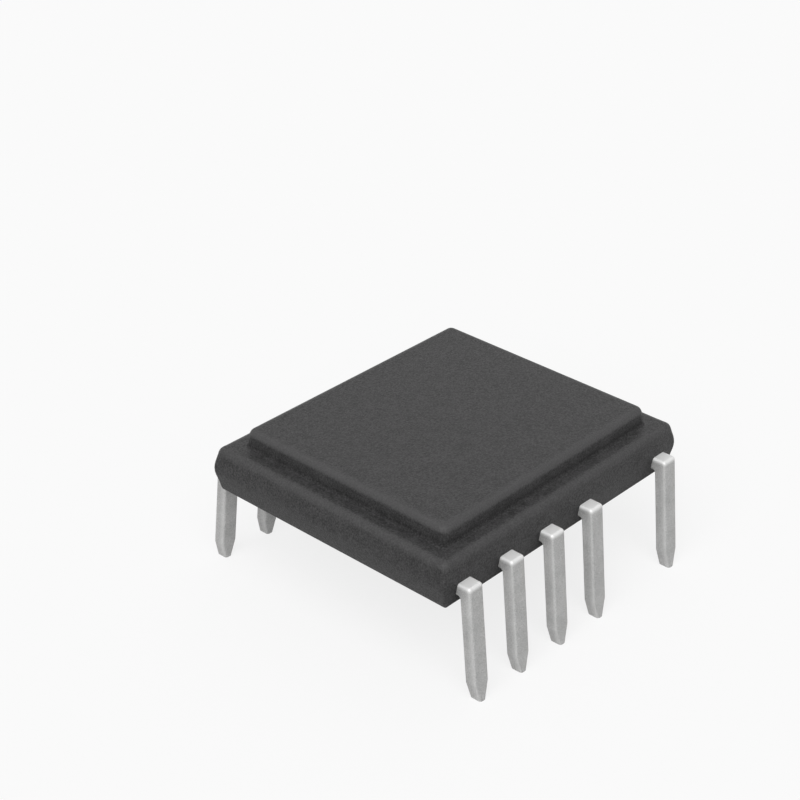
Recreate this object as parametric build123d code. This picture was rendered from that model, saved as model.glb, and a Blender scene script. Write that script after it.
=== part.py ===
from build123d import *
import math
import os

os.makedirs("parts", exist_ok=True)

# Offline switcher chip in an eleven lead dual-in-line power package, in millimetres.
# +X runs along the lead rows, +Y from the five lead row to the six lead row, +Z up.
# The origin is on the plane of the lead tips, midway between the rows and the ends.

# Leads: rows of six positions at the standard pitch, with one position empty in the near row
lead_pitch = 1.778
row_positions = 6
empty_position = 5
lead_width = 0.56
lead_thickness = 0.40
lead_tip_width = 0.24
lead_taper_height = 0.57
lead_top_height = 3.69
shoulder_clearance = 0.413
lead_splay = 6.0
bend_outer_radius = 0.10
bend_inner_radius = 0.10
lead_edge_radius = 0.08

# Moulded block: widest at the parting ridge, drafted towards its top rim and its bottom face
parting_above_lead = 0.05
end_cover = 0.581
parting_half_width = 4.552
bottom_depth = 0.73
bottom_end_inset = 0.231
bottom_side_inset = 0.122
rim_rise = 0.735
rim_end_inset = 0.149
rim_side_inset = 0.074
ridge_half_height = 0.20
rim_radius = 0.25
bottom_radius = 0.06
block_corner_radius = 0.08
rim_corner_radius = 0.33

# Raised platform on top of the block, with a ledge all round it
platform_rise = 0.60
platform_end_ledge = 0.638
platform_side_ledge = 0.62
platform_draft = 5.0
platform_edge_radius = 0.25
platform_foot_radius = 0.10

# Stand-off discs: each has a narrower root seated in the underside
disc_radius = 0.72
disc_proud = 0.08
disc_edge_radius = 0.04
disc_root_radius = 0.42
disc_root_depth = 0.15
disc_end_inset = 1.495
disc_side_inset = 1.26

# Inner ends of the near leads: a wide bonding head with a locking hole
head_width = 1.10
head_length = 1.00
head_cover = 0.952
head_lock_radius = 0.18
head_lock_inset = 0.30
stamped_corner_radius = 0.12

# Copper paddle, one sheet with the six far leads, which are its heat path
paddle_left_inset = 1.245
paddle_right_inset = 1.945
paddle_gap = 0.85
heat_bar_cover = 1.052
heat_bar_width = 1.20
bar_lock_radius = 0.27

# Silicon die, centred on the paddle, and the layer that bonds it there
die_length = 2.90
die_width = 2.10
die_thickness = 0.28
attach_thickness = 0.04
attach_margin = 0.05

# Bond wires: a flat ball on the die, a loop, and a flat foot on the copper
wire_radius = 0.025
ball_radius = 0.055
ball_thickness = 0.02
loop_rise = 0.30
loop_crest_run = 0.12
loop_fall_run = 0.30
head_foot_inset = 0.25
control_pad_spacing = 0.45
control_pad_left = 1.20
control_pad_inset = 0.20
drain_pad_right = 0.75
drain_pad_spacing = 0.40
drain_pad_inset = 0.55
source_pad_left = 0.90
source_pad_spacing = 0.50
source_pad_inset = 0.25
source_foot_gap = 0.45

# Two places closer than this are one place when edges are picked
same_place = 0.001

# Lead numbers: 1 to 6 along the near row, without the empty position, and 7 to 12 back along the far row
near_row_leads = [number for number in range(1, row_positions + 1) if number != empty_position]
far_row_leads = range(row_positions + 1, 2 * row_positions + 1)

# Heights that follow from the sizes above
lead_bottom_height = lead_top_height - lead_thickness
parting_height = lead_top_height + parting_above_lead
bottom_height = parting_height - bottom_depth
rim_height = parting_height + rim_rise
platform_height = rim_height + platform_rise
die_bottom_height = lead_top_height + attach_thickness
die_top_height = die_bottom_height + die_thickness

# Reaches from the middle that follow from the sizes above
row_half_length = (row_positions - 1) / 2 * lead_pitch + lead_width / 2
parting_half_length = row_half_length + end_cover
bottom_half_length = parting_half_length - bottom_end_inset
bottom_half_width = parting_half_width - bottom_side_inset
rim_half_length = parting_half_length - rim_end_inset
rim_half_width = parting_half_width - rim_side_inset
platform_half_length = rim_half_length - platform_end_ledge
platform_half_width = rim_half_width - platform_side_ledge
platform_spread = platform_rise * math.tan(math.radians(platform_draft))
disc_x = bottom_half_length - disc_end_inset
disc_y = bottom_half_width - disc_side_inset
shoulder_reach = parting_half_width + shoulder_clearance
head_outer_reach = parting_half_width - head_cover
head_inner_reach = head_outer_reach - head_length
head_foot_reach = head_inner_reach + head_foot_inset
heat_bar_outer = parting_half_width - heat_bar_cover
heat_bar_inner = heat_bar_outer - heat_bar_width
paddle_left = paddle_left_inset - row_half_length
paddle_right = row_half_length - paddle_right_inset
paddle_near = paddle_gap - head_inner_reach
die_centre_x = (paddle_left + paddle_right) / 2
die_centre_y = (paddle_near + heat_bar_inner) / 2
die_near_edge = die_centre_y - die_width / 2
die_far_edge = die_centre_y + die_width / 2


def lead_x(number):
    """Place of a lead along its row: 1 to 6 run towards +X, and 7 to 12 run back."""
    if number > row_positions:
        number = 2 * row_positions + 1 - number
    return (number - (row_positions + 1) / 2) * lead_pitch


def upright_edges(shape):
    """Edges that run mostly up and down."""
    return shape.edges().filter_by(lambda e: abs(e.tangent_at(0.5).Z) > 0.5)


def level_edges(shape, height):
    """Edges that lie at one height."""
    return shape.edges().filter_by(lambda e: abs(e.center().Z - height) < same_place)


def plate(x_low, x_high, y_low, y_high, z_low, z_high):
    """Flat rectangular piece between two heights."""
    centre = Pos((x_low + x_high) / 2, (y_low + y_high) / 2, (z_low + z_high) / 2)
    return centre * Box(x_high - x_low, y_high - y_low, z_high - z_low)


def stamped_plate(x_low, x_high, y_low, y_high):
    """Lead frame copper with the soft corners that a stamping tool leaves."""
    sheet = plate(x_low, x_high, y_low, y_high, lead_bottom_height, lead_top_height)
    return fillet(upright_edges(sheet), stamped_corner_radius)


def upright(x, y, radius, z_low, z_high):
    """Upright cylinder between two heights."""
    return Pos(x, y, (z_low + z_high) / 2) * Cylinder(radius, z_high - z_low)


def frame_hole(x, y, radius):
    """Round hole through the lead frame, which the moulding fills."""
    return upright(x, y, radius, lead_bottom_height, lead_top_height)


def formed_lead(root_reach):
    """A lead at X = 0 in the far row: flat out of the body, bent down, splayed, narrow at its tip."""
    lean = math.tan(math.radians(lead_splay))
    outer_tip = shoulder_reach + lead_top_height * lean
    inner_tip = outer_tip - lead_thickness / math.cos(math.radians(lead_splay))
    inner_bend = inner_tip - lead_bottom_height * lean
    outline = Polyline(
        (root_reach, lead_top_height),
        (shoulder_reach, lead_top_height),
        (outer_tip, 0),
        (inner_tip, 0),
        (inner_bend, lead_bottom_height),
        (root_reach, lead_bottom_height),
        close=True,
    )
    side = make_face(Plane.YZ * outline)
    outer_corner = side.vertices().sort_by_distance(Vertex(0, shoulder_reach, lead_top_height))[0]
    side = fillet(outer_corner, bend_outer_radius)
    inner_corner = side.vertices().sort_by_distance(Vertex(0, inner_bend, lead_bottom_height))[0]
    side = fillet(inner_corner, bend_inner_radius)
    strip = extrude(side, amount=lead_width / 2, both=True)
    front = Polyline(
        (-lead_width / 2, platform_height),
        (-lead_width / 2, lead_taper_height),
        (-lead_tip_width / 2, 0),
        (lead_tip_width / 2, 0),
        (lead_width / 2, lead_taper_height),
        (lead_width / 2, platform_height),
        close=True,
    )
    front_mask = extrude(make_face(Plane.XZ * front), amount=2 * shoulder_reach, both=True)
    lead = strip & front_mask
    taper_start = level_edges(lead, lead_taper_height)
    long_edges = lead.edges().filter_by(
        lambda e: abs(e.tangent_at(0.5).X) < abs(math.sin(math.pi / 4))
        and e.center().Z > same_place
        and e.center().Y > root_reach + same_place
        and e not in taper_start)
    return fillet(long_edges, lead_edge_radius)


def block_section(height):
    """Level section of the block: drafted both ways from the parting ridge, which is rounded off."""
    if height > parting_height:
        share = (height - parting_height) / rim_rise
        end_inset = rim_end_inset * share
        side_inset = rim_side_inset * share
        corner_radius = block_corner_radius + (rim_corner_radius - block_corner_radius) * share ** 2
    else:
        share = (parting_height - height) / bottom_depth
        end_inset = bottom_end_inset * share
        side_inset = bottom_side_inset * share
        corner_radius = block_corner_radius
    inside_ridge = max(0, ridge_half_height - abs(height - parting_height))
    rounding = inside_ridge ** 2 / (4 * ridge_half_height)
    end_inset += rounding * (rim_end_inset / rim_rise + bottom_end_inset / bottom_depth)
    side_inset += rounding * (rim_side_inset / rim_rise + bottom_side_inset / bottom_depth)
    length = 2 * (parting_half_length - end_inset)
    width = 2 * (parting_half_width - side_inset)
    return Pos(0, 0, height) * RectangleRounded(length, width, corner_radius)


def moulded_block():
    """Lower part of the body: level sections joined smoothly, with the rim and bottom edges rounded."""
    ridge_low = parting_height - ridge_half_height
    ridge_high = parting_height + ridge_half_height
    lower_middle = (bottom_height + ridge_low) / 2
    upper_middle = (ridge_high + rim_height) / 2
    heights = (bottom_height, lower_middle, ridge_low, parting_height, ridge_high, upper_middle, rim_height)
    block = loft([block_section(height) for height in heights])
    block = fillet(level_edges(block, rim_height), rim_radius)
    return fillet(level_edges(block, bottom_height), bottom_radius)


def raised_platform():
    """Platform on top of the block, drafted and rounded."""
    foot_length = 2 * (platform_half_length + platform_spread)
    foot_width = 2 * (platform_half_width + platform_spread)
    foot = Pos(0, 0, rim_height) * Rectangle(foot_length, foot_width)
    top = Pos(0, 0, platform_height) * Rectangle(2 * platform_half_length, 2 * platform_half_width)
    platform = loft([foot, top], ruled=True)
    outer_edges = upright_edges(platform) + level_edges(platform, platform_height)
    return fillet(outer_edges, platform_edge_radius)


def body_outside():
    """Block and platform as one solid, with the concave rounding at the platform's foot."""
    body = moulded_block() + raised_platform()
    foot = level_edges(body, rim_height).filter_by(
        lambda e: abs(e.center().X) < platform_half_length + platform_spread + same_place
        and abs(e.center().Y) < platform_half_width + platform_spread + same_place)
    return fillet(foot, platform_foot_radius)


def stand_off(x, y):
    """Round stand-off with a soft rim and a narrower root inside the body."""
    disc = upright(x, y, disc_radius, bottom_height - disc_proud, bottom_height)
    disc = fillet(level_edges(disc, bottom_height - disc_proud), disc_edge_radius)
    return disc + upright(x, y, disc_root_radius, bottom_height, bottom_height + disc_root_depth)


def head_x(number):
    """Middle of a near lead's bonding head: an end lead's head is flush with its outer side."""
    x = lead_x(number)
    if number in (1, row_positions):
        x -= math.copysign((head_width - lead_width) / 2, x)
    return x


def near_lead(number):
    """Separate lead of the near row with its bonding head inside the body."""
    x = head_x(number)
    lead = mirror(formed_lead(head_inner_reach + stamped_corner_radius), about=Plane.XZ)
    lead = Pos(lead_x(number), 0, 0) * lead
    head = stamped_plate(x - head_width / 2, x + head_width / 2, -head_outer_reach, -head_inner_reach)
    return lead + head - frame_hole(x, head_lock_inset - head_outer_reach, head_lock_radius)


def paddle_with_leads():
    """Die paddle, heat bar and the six far leads in one sheet."""
    sheet = stamped_plate(paddle_left, paddle_right, paddle_near, heat_bar_outer)
    sheet += stamped_plate(-row_half_length, row_half_length, heat_bar_inner, heat_bar_outer)
    lead = formed_lead(heat_bar_inner + stamped_corner_radius)
    for number in far_row_leads:
        sheet += Pos(lead_x(number), 0, 0) * lead
    bar_middle = (heat_bar_inner + heat_bar_outer) / 2
    for number in range(1, row_positions):
        sheet -= frame_hole(lead_x(number) + lead_pitch / 2, bar_middle, bar_lock_radius)
    return sheet


def bond_wire(start_x, start_y, foot_x, foot_y):
    """Wire from a pad on the die, over a loop, down to a foot on the lead frame."""
    start = Vector(start_x, start_y, die_top_height + ball_thickness)
    foot = Vector(foot_x, foot_y, lead_top_height + ball_thickness)
    along = Vector(foot_x - start_x, foot_y - start_y, 0).normalized()
    crest = start + along * loop_crest_run + Vector(0, 0, loop_rise)
    fall = foot - along * loop_fall_run + Vector(0, 0, loop_rise)
    path = Spline(start, crest, fall, foot, tangents=[(0, 0, 1), (0, 0, -1)])
    wire = sweep(Plane(start, z_dir=(0, 0, 1)) * Circle(wire_radius), path=path)
    ball = upright(start_x, start_y, ball_radius, die_top_height, die_top_height + ball_thickness)
    pad = upright(foot_x, foot_y, ball_radius, lead_top_height, lead_top_height + ball_thickness)
    return wire + ball + pad


pieces = {}

for number in near_row_leads:
    pieces[f"lead_{number}"] = near_lead(number)
pieces["paddle_with_leads_7_to_12"] = paddle_with_leads()

pieces["die_attach"] = plate(
    die_centre_x - die_length / 2 - attach_margin,
    die_centre_x + die_length / 2 + attach_margin,
    die_near_edge - attach_margin,
    die_far_edge + attach_margin,
    lead_top_height,
    die_bottom_height,
)
pieces["silicon_die"] = plate(
    die_centre_x - die_length / 2,
    die_centre_x + die_length / 2,
    die_near_edge,
    die_far_edge,
    die_bottom_height,
    die_top_height,
)

for order, number in enumerate(near_row_leads[:-1]):
    pad_x = die_centre_x - control_pad_left + order * control_pad_spacing
    pad_y = die_near_edge + control_pad_inset
    pieces[f"bond_wire_lead_{number}"] = bond_wire(pad_x, pad_y, head_x(number), -head_foot_reach)
for order, letter in enumerate("ab"):
    pad_x = die_centre_x + drain_pad_right + order * drain_pad_spacing
    pad_y = die_near_edge + drain_pad_inset
    foot_x = head_x(row_positions) + (order - 1 / 2) * drain_pad_spacing
    pieces[f"bond_wire_lead_6_{letter}"] = bond_wire(pad_x, pad_y, foot_x, -head_foot_reach)
for order, letter in enumerate("abc"):
    pad_x = die_centre_x - source_pad_left + order * source_pad_spacing
    pad_y = die_far_edge - source_pad_inset
    pieces[f"bond_wire_paddle_{letter}"] = bond_wire(pad_x, pad_y, pad_x, die_far_edge + source_foot_gap)

corners = ((-disc_x, -disc_y), (disc_x, -disc_y), (disc_x, disc_y), (-disc_x, disc_y))
for number, (x, y) in enumerate(corners, start=1):
    pieces[f"standoff_disc_{number}"] = stand_off(x, y)

# The moulding closes round every piece inside it
body = body_outside()
for piece in pieces.values():
    body -= piece
pieces["moulded_body"] = body

for name, piece in pieces.items():
    piece.label = name
    export_step(piece, f"parts/{name}.step")
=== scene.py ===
import math

import bpy
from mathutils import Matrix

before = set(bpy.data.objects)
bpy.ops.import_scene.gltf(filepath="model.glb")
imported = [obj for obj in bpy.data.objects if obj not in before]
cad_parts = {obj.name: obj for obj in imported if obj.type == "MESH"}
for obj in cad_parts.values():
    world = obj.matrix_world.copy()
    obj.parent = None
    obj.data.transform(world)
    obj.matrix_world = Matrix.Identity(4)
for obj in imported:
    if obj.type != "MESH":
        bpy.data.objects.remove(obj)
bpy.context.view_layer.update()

# Moulded body. The real one is black epoxy mould compound, filled with fine silica.
# It is transfer moulded round the lead frame in two steel halves with a spark eroded
# finish, so it comes out matt, with a fine even grain and a slight mottle.


class Shade:
    """A shader socket that can be used in sums, where each operator adds a Math node."""

    def __init__(self, tree, socket=None):
        self.tree = tree
        self.socket = socket

    def node(self, kind, settings, values, output=0):
        """Adds a node: first its settings, then the values or links of its sockets."""
        added = self.tree.nodes.new(kind)
        for name, setting in settings.items():
            setattr(added, name, setting)
        for name, value in values.items():
            if isinstance(value, Shade):
                self.tree.links.new(value.socket, added.inputs[name])
            else:
                added.inputs[name].default_value = value
        return Shade(self.tree, added.outputs[output])

    def other(self, name):
        """Another output of the same node."""
        return Shade(self.tree, self.socket.node.outputs[name])

    def maths(self, operation, other=0.0, swapped=False):
        """One Math node, with this value first unless they are swapped."""
        first, second = (other, self) if swapped else (self, other)
        return self.node("ShaderNodeMath", {"operation": operation}, {0: first, 1: second})

    def axis(self, name):
        """The X, Y or Z of a place."""
        return self.node("ShaderNodeSeparateXYZ", {}, {0: self}, name)

    def ramp(self, low, high):
        """0 below the low value, 1 above the high one, and even between them."""
        values = {"Value": self, "From Min": low, "From Max": high}
        return self.node("ShaderNodeMapRange", {"clamp": True}, values)

    def __add__(self, other):
        return self.maths("ADD", other)

    def __sub__(self, other):
        return self.maths("SUBTRACT", other)

    def __rsub__(self, other):
        return self.maths("SUBTRACT", other, swapped=True)

    def __mul__(self, other):
        return self.maths("MULTIPLY", other)

    __radd__ = __add__
    __rmul__ = __mul__


def new_finish(name):
    """A bare material, its shader, and the place on the piece that its patterns read."""
    finish = bpy.data.materials.new(name)
    finish.use_nodes = True
    shader = finish.node_tree.nodes["Principled BSDF"]
    place = Shade(finish.node_tree).node("ShaderNodeTexCoord", {}, {}, "Object")
    return finish, shader, place


def feed(shader, name, value):
    """Links a varying value to one socket of the shader."""
    value.tree.links.new(value.socket, shader.inputs[name])


def grain(place, size, detail):
    """Soft random pattern from 0 to 1, with specks of about this size in metres."""
    values = {"Vector": place, "Scale": 1 / size, "Detail": detail, "Roughness": 0.6}
    return place.node("ShaderNodeTexNoise", {}, values)


def blend_colours(amount, low, high):
    """One colour where the pattern is low, the other where it is high."""
    return amount.node("ShaderNodeMix", {"data_type": "RGBA"}, {0: amount, 6: low, 7: high}, 2)


def relief(pattern, depth):
    """Bumps of this depth in metres, for the shader's Normal."""
    return pattern.node("ShaderNodeBump", {}, {"Height": pattern, "Distance": depth, "Strength": 1.0})


def dress(finish, names):
    """Gives the finish to these pieces of the frame."""
    for name in names:
        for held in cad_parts[name].material_slots:
            held.material = finish


def past_edge(place, half_length, half_width):
    """How far a point lies outside an upright block of these half sizes, negative inside it."""
    past_end = place.axis("X").maths("ABSOLUTE") - half_length
    past_side = place.axis("Y").maths("ABSOLUTE") - half_width
    return past_end.maths("MAXIMUM", past_side)


compound, shader, place = new_finish("mould_compound")
speck = grain(place, size=0.00005, detail=3.0)
mottle = grain(place, size=0.0004, detail=2.0)
spark_depth = 0.000016
darkest_resin = (0.002, 0.002, 0.002, 1)
palest_resin = (0.044, 0.043, 0.044, 1)
highlight_resin = (0.070, 0.069, 0.070, 1)

# The concave foot of the platform is rougher, and its colour is darkened there as painted shade.
height = place.axis("Z")
foot_start = height.ramp(low=0.004476, high=0.004490)
foot_end = height.ramp(low=0.004560, high=0.004680)
foot_dull_and_shaded = foot_start * (1 - foot_end)

# The rounded upper edges of the platform and of the rim get a paler colour, as painted highlights.
platform_edge = past_edge(place, half_length=0.004519, half_width=0.003858).ramp(low=-0.00026, high=-0.00010)
platform_edge = platform_edge * height.ramp(low=0.00483, high=0.00492)
rim_edge = past_edge(place, half_length=0.005157, half_width=0.004478).ramp(low=-0.00024, high=-0.00010)
rim_edge = rim_edge * height.ramp(low=0.00422, high=0.00434)
above_rim = height.ramp(low=0.00447, high=0.00448)
platform_highlight, rim_highlight = 0.55, 0.35
resin_highlight_mask = platform_edge * platform_highlight + rim_edge * rim_highlight * (1 - above_rim)

# The grain sets the resin's tone, and the concave foot is darkened there as painted shade.
tone = speck * 3.2 + mottle * 1.0 - 1.62 - foot_dull_and_shaded * 0.15
resin = blend_colours(tone, darkest_resin, palest_resin)
shader.inputs["Specular IOR Level"].default_value = 0.42
# The rounded edges are blended towards a paler resin as painted highlights.
feed(shader, "Base Color", blend_colours(resin_highlight_mask, resin, highlight_resin))
feed(shader, "Roughness", 0.50 + mottle * 0.20 + foot_dull_and_shaded * 0.25)
feed(shader, "Normal", relief(speck, spark_depth))
dress(compound, ["moulded_body"])

# Leads. The real ones are stamped and formed copper, trimmed after moulding and plated
# with matt tin, which leaves a fine crystal grain. Inside the body the copper stays bare.

tin, shader, place = new_finish("tinned_copper")
crystal = grain(place, size=0.000028, detail=2.0)
cloud = grain(place, size=0.0005, detail=2.0)
crystal_depth = 0.000004
darkest_tin = (0.27, 0.27, 0.266, 1)
palest_tin = (0.56, 0.56, 0.555, 1)
highlight_tin = (0.78, 0.78, 0.775, 1)
shader.inputs["Metallic"].default_value = 0.25

# Sizes of a lead, as in the solids. Its width grows evenly from the tip to the full width.
lead_pitch = 0.001778
lead_thickness = 0.00040
lead_half_width = 0.00028
tip_half_width = 0.00012
taper_slope = 0.2807
top_height = 0.00369
shoulder_reach = 0.004965
splay = math.radians(6)

# Depth of a point behind the broad side that faces -Y: the outer one in the near row, and
# the inner one in the far row.
height = place.axis("Z")
outer_face = shoulder_reach + (top_height - height) * math.tan(splay)
from_outer = outer_face - place.axis("Y").maths("ABSOLUTE")
in_far_row = place.axis("Y").ramp(low=-0.001, high=0.001)
depth = from_outer + in_far_row * (lead_thickness - from_outer * 2)

# The two long edges of that side, and the crown of the bend, are painted paler as painted highlights.
off_middle = (place.axis("X") * (1 / lead_pitch)).maths("FRACT") - 0.5
off_middle = off_middle.maths("ABSOLUTE") * lead_pitch
half_width = (height * taper_slope + tip_half_width).maths("MINIMUM", lead_half_width)
off_long_edge = (half_width - off_middle).ramp(low=0, high=0.00005)
off_side = depth.ramp(low=0.00002, high=0.00020)
highlit_lead_edges = (1 - off_long_edge) * (1 - off_side)
crown = height.ramp(low=0.00354, high=0.00366)
lead_highlight_strength = 0.35
lead_highlight_mask = crown + (1 - crown) * highlit_lead_edges * lead_highlight_strength

matt = blend_colours(crystal * 2.2 + cloud * 0.6 - 0.90, darkest_tin, palest_tin)
# The edges and the crown are blended towards a paler tin as painted highlights.
feed(shader, "Base Color", blend_colours(lead_highlight_mask, matt, highlight_tin))
feed(shader, "Roughness", 0.40 + crystal * 0.20)
feed(shader, "Normal", relief(crystal, crystal_depth))
near_leads = ["lead_1", "lead_2", "lead_3", "lead_4", "lead_6"]
dress(tin, near_leads + ["paddle_with_leads_7_to_12"])

# Die. The real one is a thin rectangle sawn from a silicon wafer. It is grey and nearly
# mirror smooth, and it is soldered to the copper paddle.

silicon, shader, place = new_finish("silicon")
haze = grain(place, size=0.0002, detail=2.0)
dark_silicon = (0.20, 0.21, 0.24, 1)
hazy_silicon = (0.32, 0.33, 0.37, 1)
shader.inputs["Metallic"].default_value = 0.4
feed(shader, "Base Color", blend_colours(haze, dark_silicon, hazy_silicon))
feed(shader, "Roughness", 0.18 + haze * 0.10)
dress(silicon, ["silicon_die"])

# Solder under the die. The real one starts as solder wire, which is melted on the paddle
# and pressed out by the die to a thin even layer.

solder, shader, place = new_finish("die_attach_solder")
ripple = grain(place, size=0.00015, detail=2.0)
dull_solder = (0.38, 0.38, 0.39, 1)
bright_solder = (0.52, 0.52, 0.53, 1)
shader.inputs["Metallic"].default_value = 1.0
feed(shader, "Base Color", blend_colours(ripple, dull_solder, bright_solder))
feed(shader, "Roughness", 0.30 + ripple * 0.15)
dress(solder, ["die_attach"])

# Bond wires. The real ones are fine copper wire, melted to a ball that is pressed on the
# die, and pressed to a flat foot on the copper of a lead or the paddle.

bare_copper, shader, place = new_finish("bond_wire")
draw_mark = grain(place, size=0.00003, detail=1.0)
dark_copper = (0.72, 0.42, 0.26, 1)
bright_copper = (0.86, 0.54, 0.37, 1)
shader.inputs["Metallic"].default_value = 1.0
feed(shader, "Base Color", blend_colours(draw_mark, dark_copper, bright_copper))
feed(shader, "Roughness", 0.22 + draw_mark * 0.10)
wires_to_leads = ["lead_1", "lead_2", "lead_3", "lead_4", "lead_6_a", "lead_6_b"]
wires_to_paddle = ["paddle_a", "paddle_b", "paddle_c"]
dress(bare_copper, ["bond_wire_" + end for end in wires_to_leads + wires_to_paddle])

# Stand-off discs. The real ones are pale grey plastic, seated in the underside, and
# keep the body clear of the circuit board.

pale_grey, shader, place = new_finish("standoff_disc")
fleck = grain(place, size=0.00006, detail=3.0)
shade = grain(place, size=0.0004, detail=2.0)
fleck_depth = 0.000002
dark_plastic = (0.24, 0.24, 0.24, 1)
pale_plastic = (0.38, 0.38, 0.38, 1)
feed(shader, "Base Color", blend_colours(fleck * 0.6 + shade * 0.4, dark_plastic, pale_plastic))
feed(shader, "Roughness", 0.50 + shade * 0.15)
feed(shader, "Normal", relief(fleck, fleck_depth))
dress(pale_grey, ["standoff_disc_1", "standoff_disc_2", "standoff_disc_3", "standoff_disc_4"])

# Floor: a wide plain white table, not part of the object. It keeps a faint shadow of the
# chip, because what looks straight at it sees it partly glow white.

table_width = 6.0
table_glow = 0.8
bpy.ops.object.select_all(action="DESELECT")
bpy.ops.mesh.primitive_plane_add(size=table_width, location=(0, 0, 0))
floor = bpy.context.object
floor.name = "floor"
white, shader, place = new_finish("white_table")
shader.inputs["Base Color"].default_value = (0.85, 0.85, 0.85, 1)
shader.inputs["Roughness"].default_value = 1.0
shader.inputs["Specular IOR Level"].default_value = 0.0


def looked_at(start):
    """1 for what the camera, a gloss or a clear piece sees, and 0 for light that lands on things."""
    path = start.node("ShaderNodeLightPath", {}, {}, "Is Camera Ray")
    return path + path.other("Is Glossy Ray") + path.other("Is Transmission Ray")


lit = Shade(white.node_tree, shader.outputs["BSDF"])
glow = place.node("ShaderNodeEmission", {}, {"Color": (1.0, 1.0, 1.0, 1), "Strength": 1.0})
table_look = place.node("ShaderNodeMixShader", {}, {0: looked_at(place) * table_glow, 1: lit, 2: glow})
table_output = white.node_tree.nodes["Material Output"]
white.node_tree.links.new(table_look.socket, table_output.inputs["Surface"])
floor.data.materials.append(white)

# Studio light: an even soft surround, a broad key light from the front left, and a weak
# one from behind on the right. What looks past the floor sees white.

surround = bpy.data.worlds.new("white_surround")
surround.use_nodes = True
surround.node_tree.nodes.clear()
sky = Shade(surround.node_tree)
soft = sky.node("ShaderNodeBackground", {}, {"Color": (1, 1, 1, 1), "Strength": 0.25})
bright = sky.node("ShaderNodeBackground", {}, {"Color": (1, 1, 1, 1), "Strength": 1.0})
sky_look = sky.node("ShaderNodeMixShader", {}, {0: looked_at(sky), 1: soft, 2: bright})
sky_output = surround.node_tree.nodes.new("ShaderNodeOutputWorld")
surround.node_tree.links.new(sky_look.socket, sky_output.inputs["Surface"])
bpy.context.scene.world = surround


def soft_lamp(name, azimuth, elevation, strength, spread):
    """A distant soft lamp. Azimuth runs from +X towards +Y, and spread is its width, in degrees."""
    light = bpy.data.lights.new(name, "SUN")
    light.energy = strength
    light.angle = math.radians(spread)
    lamp = bpy.data.objects.new(name, light)
    lamp.rotation_euler = (0, math.radians(90 - elevation), math.radians(azimuth))
    bpy.context.scene.collection.objects.link(lamp)


soft_lamp("key_light", azimuth=212, elevation=51, strength=2.40, spread=60)
soft_lamp("fill_light", azimuth=30, elevation=55, strength=0.30, spread=60)

# Camera: at the photograph's place, from the front corner, about 30 degrees above the table.

lens = bpy.data.cameras.new("camera")
lens.sensor_width = 36.0
lens.lens = 87.357
lens.clip_start = 0.001
lens.clip_end = 20.0
camera = bpy.data.objects.new("camera", lens)
camera.location = (-0.037536, -0.032248, 0.034065)
camera.rotation_euler = (math.radians(60.120), math.radians(-0.404), math.radians(-47.456))
bpy.context.scene.collection.objects.link(camera)
bpy.context.scene.camera = camera
bpy.context.scene.view_settings.view_transform = "Standard"
